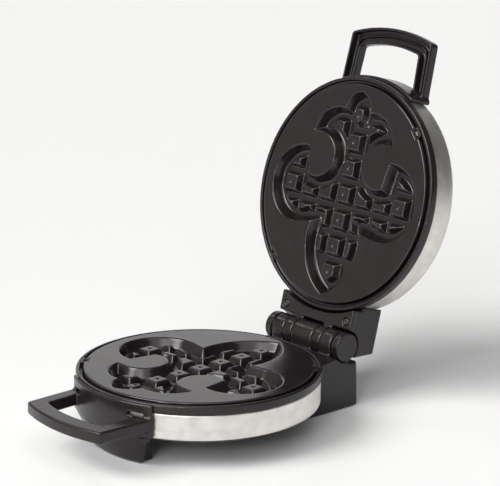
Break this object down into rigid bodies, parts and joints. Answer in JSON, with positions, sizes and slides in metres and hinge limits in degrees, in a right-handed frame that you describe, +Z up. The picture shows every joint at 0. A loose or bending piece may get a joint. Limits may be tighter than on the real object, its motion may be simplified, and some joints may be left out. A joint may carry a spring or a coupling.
{
  "type": "waffle maker",
  "caption": "Round hinged waffle maker standing open: a lily-shaped grid mould in both plates, steel-banded housings, loop handles, a front foot and a rear hinge block.",
  "frame": {"origin": "bottom centre of the whole object's box as it stands open, on the table's surface", "axes": "+Z up; -Y points from the hinge to the handles, where the user stands; +X runs along the hinge pin"},
  "size_m": [0.23, 0.4256, 0.3556],
  "materials": {
    "satin_black": "black satin moulded phenolic plastic",
    "non_stick": "die-cast aluminium with a charcoal satin non-stick coat",
    "brushed_steel": "thin stainless strip, brushed round the housing",
    "bare_steel": "bare drawn steel",
    "tin_plate": "bright tin-plated sheet",
    "rubber": "matt black rubber",
    "ceramic": "unglazed steatite",
    "red_lens": "clear red lamp lens",
    "green_lens": "clear green lamp lens"
  },
  "bodies": {
    "base": {"lower_plate": "non_stick", "lower_bezel": "satin_black", "lower_steel_band": "brushed_steel", "base_cover": "satin_black", "lower_clip_front": "satin_black", "lower_clip_rear": "satin_black", "lower_heating_element": "bare_steel", "lower_reflector": "tin_plate", "thermostat": "bare_steel", "thermal_fuse": "bare_steel", "lower_handle": "satin_black", "front_foot": "satin_black", "hinge_block": "satin_black", "block_base_plate": "satin_black", "terminal_block": "ceramic", "cord_gland": "rubber", "foot_pad_front_left": "rubber", "foot_pad_front_right": "rubber", "foot_pad_rear_left": "rubber", "foot_pad_rear_right": "rubber", "hinge_pin": "bare_steel", "hinge_cap_left": "satin_black", "hinge_cap_right": "satin_black"},
    "lid": {"lid_plate": "non_stick", "lid_bezel": "satin_black", "lid_steel_band": "brushed_steel", "lid_cover": "satin_black", "power_lamp_lens": "red_lens", "ready_lamp_lens": "green_lens", "lid_clip_front": "satin_black", "lid_clip_rear": "satin_black", "lid_heating_element": "bare_steel", "lid_reflector": "tin_plate", "lid_handle": "satin_black", "lid_hinge_bracket": "satin_black", "bracket_screw_left": "bare_steel", "bracket_screw_right": "bare_steel"}
  },
  "joints": [
    {"name": "lid_hinge", "type": "hinge", "parent": "base", "child": "lid", "pos_m": [0, 0.09744, 0.0623], "axis": [1, 0, 0], "range_deg": [0, 104.65]}
  ]
}
